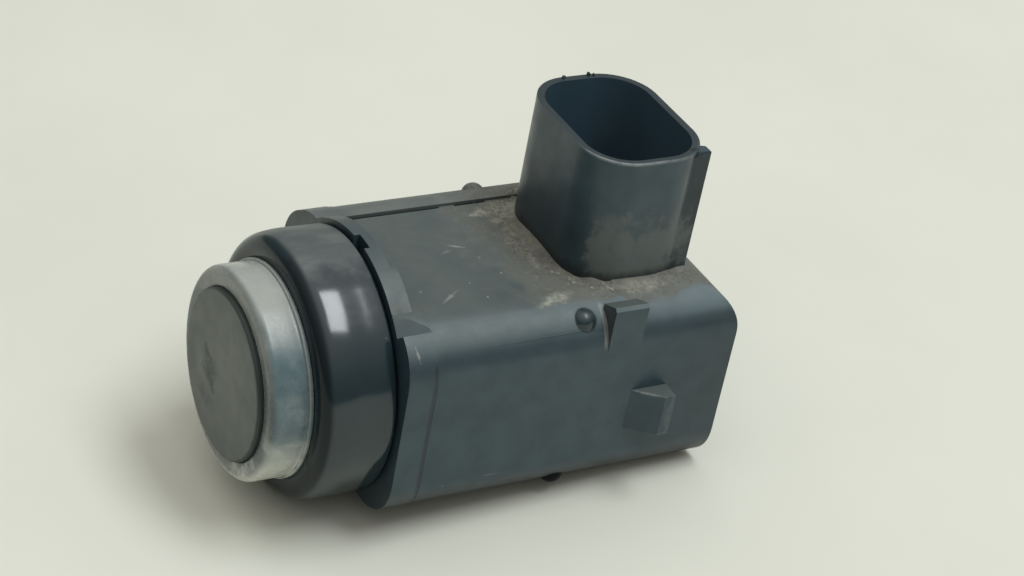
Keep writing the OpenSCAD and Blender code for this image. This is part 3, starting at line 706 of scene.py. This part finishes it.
def socket_foot(steps):
    """Points round the socket's foot with their outward directions."""
    straight = (SOCKET_HALF[0] - SOCKET_CORNER, SOCKET_HALF[1] - SOCKET_CORNER)
    points = []
    for i in range(steps):
        angle = math.tau * i / steps
        out = Vector((math.cos(angle), math.sin(angle)))
        middle = Vector((math.copysign(straight[0], out.x), math.copysign(straight[1], out.y)))
        middle.x = middle.x * min(1.0, abs(out.x) * 6.0)
        middle.y = middle.y * min(1.0, abs(out.y) * 6.0)
        points.append((Vector(SOCKET_MIDDLE) + middle + out * SOCKET_CORNER, out))
    return points


def ground_height(spot):
    """Height of the panel or, beside it, of the rails."""
    return RAIL_Z if abs(spot.x) > PANEL_HALF else PANEL_Z


def make_bank():
    """Uneven bank of dirt in the corner between the socket and the panel."""
    dice = random.Random(SEED)
    waves = [(count, dice.uniform(0.0, math.tau)) for count in (2, 3, 5, 8, 13)]
    # Cross-section from the wall outwards, as shares of the bank's width and height
    section = ((-0.06, 1.0), (0.12, 0.6), (0.35, 0.28), (0.65, 0.09), (1.0, -0.12))
    steps = 320
    bm = bmesh.new()
    rows = []
    for i, (place, out) in enumerate(socket_foot(steps)):
        swell = sum(math.sin(count * math.tau * i / steps + start) for count, start in waves) / len(waves)
        height, width = 0.40 + 0.40 * swell, 1.1 + 0.8 * swell
        row = []
        for share, lift in section:
            spot = place + out * share * width
            z = ground_height(spot) + lift * height
            row.append(bm.verts.new((spot.x * MM, spot.y * MM, z * MM)))
        rows.append(row)
    for row, following in zip(rows, rows[1:] + rows[:1]):
        for j in range(len(section) - 1):
            bm.faces.new((row[j], row[j + 1], following[j + 1], following[j]))
    bmesh.ops.recalc_face_normals(bm, faces=bm.faces)
    mesh = finished_mesh(bm, "dirt_bank", 60.0)
    s = Shader("dirt_bank")
    tone, crust = dirt_tone(s)
    tone = s.mix(s.times(pale_crust_and_painted_light(s), 0.7), tone, PALE_DIRT_AND_LIGHT_COLOUR)
    s.set(Base_Color=tone, Roughness=0.9, Normal=s.bump(crust, 0.10, 0.8))
    add_object("dirt_bank", mesh, s.material)


def make_grains():
    """Fine grains and larger clods scattered round the socket's foot."""
    grain_count, rear_end, grain_side, clod_side = 90, 30.0, 9.5, 9.4
    dice = random.Random(SEED)
    foot = socket_foot(360)
    grains = []
    while len(grains) < grain_count:
        place, out = foot[dice.randrange(len(foot))]
        spot = place + out * (abs(dice.gauss(0.0, 1.8)) + 0.2)
        if spot.y > rear_end or abs(spot.x) > grain_side:
            continue
        size = dice.uniform(0.04, 0.12)
        z = ground_height(spot) + 0.1 * size
        grains.append(((spot.x, spot.y, z), size, dice.uniform(0.25, 0.5)))
    # Clods lie along the front of the foot, from its far corner to its near one
    for place, out in foot[200:345:3]:
        spot = place + out * dice.uniform(0.3, 1.5)
        if spot.y < rear_end and abs(spot.x) < clod_side:
            size = dice.uniform(0.12, 0.36)
            grains.append(((spot.x, spot.y, ground_height(spot)), size, dice.uniform(0.15, 0.3)))
    add_object("dirt_grains", crumbs("dirt_grains", grains), dirt_material())


def make_shreds():
    """Shreds of flash on the far edge of the socket's rim."""
    rim = SOCKET_RIM
    shreds = [((-7.6, 23.3, rim + 0.08), 0.26, 0.9), ((-7.6, 25.9, rim + 0.1), 0.24, 1.0),
              ((-7.5, 26.4, rim + 0.05), 0.2, 0.8)]
    finish = plain_material("flash_shreds", (0.03, 0.04, 0.044), (0.06, 0.07, 0.073), 0.5, 0.3)
    add_object("flash_shreds", crumbs("flash_shreds", shreds), finish)


def finish_inside():
    """Finishes of the pieces that keep their solids."""
    looks = {
        "piezo_ceramic": dict(dark=(0.58, 0.50, 0.32), light=(0.74, 0.67, 0.48), roughness=0.6),
        "felt": dict(dark=(0.18, 0.17, 0.14), light=(0.36, 0.34, 0.29), roughness=0.95, size=0.25,
                     grain=0.12),
        "plug_rubber": dict(dark=(0.05, 0.055, 0.06), light=(0.09, 0.095, 0.1), roughness=0.7),
        "red_wire": dict(dark=(0.36, 0.035, 0.03), light=(0.46, 0.05, 0.04), roughness=0.42, size=0.5),
        "black_wire": dict(dark=(0.02, 0.02, 0.022), light=(0.04, 0.04, 0.042), roughness=0.42,
                           size=0.5),
        "board": dict(dark=(0.016, 0.105, 0.045), light=(0.03, 0.15, 0.065), roughness=0.36, size=0.5,
                      stretch=(1.0, 6.0, 1.0)),
        "terminal_metal": dict(dark=(0.40, 0.38, 0.31), light=(0.54, 0.51, 0.43), roughness=0.6,
                               size=0.6, metallic=1.0, grain=0.01, stretch=(1.0, 1.0, 8.0)),
        "chip_resin": dict(dark=(0.018, 0.019, 0.021), light=(0.034, 0.036, 0.039), roughness=0.55,
                           size=0.3),
        "ferrite": dict(dark=(0.035, 0.035, 0.037), light=(0.07, 0.07, 0.072), roughness=0.7, size=0.4),
        "copper": dict(dark=(0.36, 0.12, 0.05), light=(0.56, 0.23, 0.10), roughness=0.32, size=0.25,
                       metallic=1.0, grain=0.06, stretch=(20.0, 20.0, 1.0)),
        "can_metal": dict(dark=(0.46, 0.48, 0.51), light=(0.60, 0.62, 0.64), roughness=0.35, size=0.5,
                          metallic=1.0, grain=0.01, stretch=(8.0, 8.0, 1.0)),
        "block_ceramic": dict(dark=(0.32, 0.23, 0.13), light=(0.44, 0.33, 0.20), roughness=0.5,
                              size=0.4),
    }
    finishes = {slot: plain_material(slot, **look) for slot, look in looks.items()}
    for entry in frame["record"]["subparts"]:
        if entry["material_slot"] in finishes:
            mesh = nodes[entry["node"]].data
            mesh.materials.clear()
            mesh.materials.append(finishes[entry["material_slot"]])


# Floor, light and camera

def make_floor():
    """Plane that the collar and the rear foot of the housing rest on."""
    slope = math.atan2(UNDERSIDE_Z + COLLAR_R, REST_REAR_Y)
    bm = bmesh.new()
    bmesh.ops.create_grid(bm, x_segments=1, y_segments=1, size=FLOOR_HALF)
    mesh = bpy.data.meshes.new("floor")
    bm.to_mesh(mesh)
    bm.free()
    mesh.materials.append(floor_material())
    floor = bpy.data.objects.new("floor", mesh)
    bpy.context.scene.collection.objects.link(floor)
    floor.matrix_world = Matrix.Translation((0.0, 0.0, -COLLAR_R * MM)) @ Matrix.Rotation(slope, 4, "X")


def add_lamp(name, direction, distance, size, power, colour):
    """Soft rectangular lamp that faces the middle of the part, its first side along X."""
    data = bpy.data.lights.new(name, "AREA")
    data.shape = "RECTANGLE"
    data.size, data.size_y = size
    data.energy = power
    data.color = colour
    lamp = bpy.data.objects.new(name, data)
    bpy.context.scene.collection.objects.link(lamp)
    direction = Vector(direction).normalized()
    side = Vector((1.0, 0.0, 0.0)) - direction.x * direction
    side.normalize()
    turn = Matrix((side, direction.cross(side), direction)).transposed().to_4x4()
    lamp.matrix_world = Matrix.Translation(Vector(LAMP_AIM) + direction * distance) @ turn


def make_light():
    """Sky that brightens towards the top, and one soft lamp overhead."""
    horizon, zenith = 0.15, 1.16
    world = bpy.data.worlds.new("studio")
    bpy.context.scene.world = world
    world.use_nodes = True
    tree = world.node_tree
    split = tree.nodes.new("ShaderNodeSeparateXYZ")
    tree.links.new(tree.nodes.new("ShaderNodeTexCoord").outputs["Generated"], split.inputs[0])
    rise = tree.nodes.new("ShaderNodeMath")
    rise.operation = "POWER"
    tree.links.new(split.outputs["Z"], rise.inputs[0])
    rise.inputs[1].default_value = 2.0
    height = tree.nodes.new("ShaderNodeMapRange")
    tree.links.new(rise.outputs[0], height.inputs["Value"])
    height.inputs["To Min"].default_value = horizon
    height.inputs["To Max"].default_value = zenith
    sky = tree.nodes["Background"]
    sky.inputs["Color"].default_value = (1.0, 0.98, 0.93, 1.0)
    tree.links.new(height.outputs["Result"], sky.inputs["Strength"])
    add_lamp("overhead_lamp", direction=(0.24, 0.262, 0.935), distance=1.0, size=(0.62, 0.27),
             power=4.8, colour=(0.93, 1.0, 1.02))


def make_camera():
    """Camera fitted to the photograph."""
    azimuth, elevation, roll = (math.radians(a) for a in (55.84, 32.41, 11.32))
    distance, shift_right, shift_up, focal_px = 227.185, 25.287, 7.572, 2611.99
    aim = Vector((0.0, -11.069, 0.0))
    flat = math.cos(elevation)
    back = Vector((math.sin(azimuth) * flat, -math.cos(azimuth) * flat, math.sin(elevation)))
    level = (-back).cross(Vector((0.0, 0.0, 1.0))).normalized()
    upright = level.cross(-back)
    right = math.cos(roll) * level + math.sin(roll) * upright
    up = -math.sin(roll) * level + math.cos(roll) * upright
    data = bpy.data.cameras.new("camera")
    data.sensor_fit = "HORIZONTAL"
    data.sensor_width = 36.0
    data.lens = focal_px * data.sensor_width / PHOTO_WIDTH
    data.clip_start = 0.01
    camera = bpy.data.objects.new("camera", data)
    bpy.context.scene.collection.objects.link(camera)
    turn = Matrix((right, up, back)).transposed().to_4x4()
    place = aim + back * distance + right * shift_right + up * shift_up
    camera.matrix_world = Matrix.Translation(place * MM) @ turn
    bpy.context.scene.camera = camera


make_camera()
make_light()
make_floor()
make_housing()
make_collar()
make_ring()
make_pot()
make_bank()
make_grains()
make_shreds()
finish_inside()

bpy.context.scene.view_settings.view_transform = "Standard"
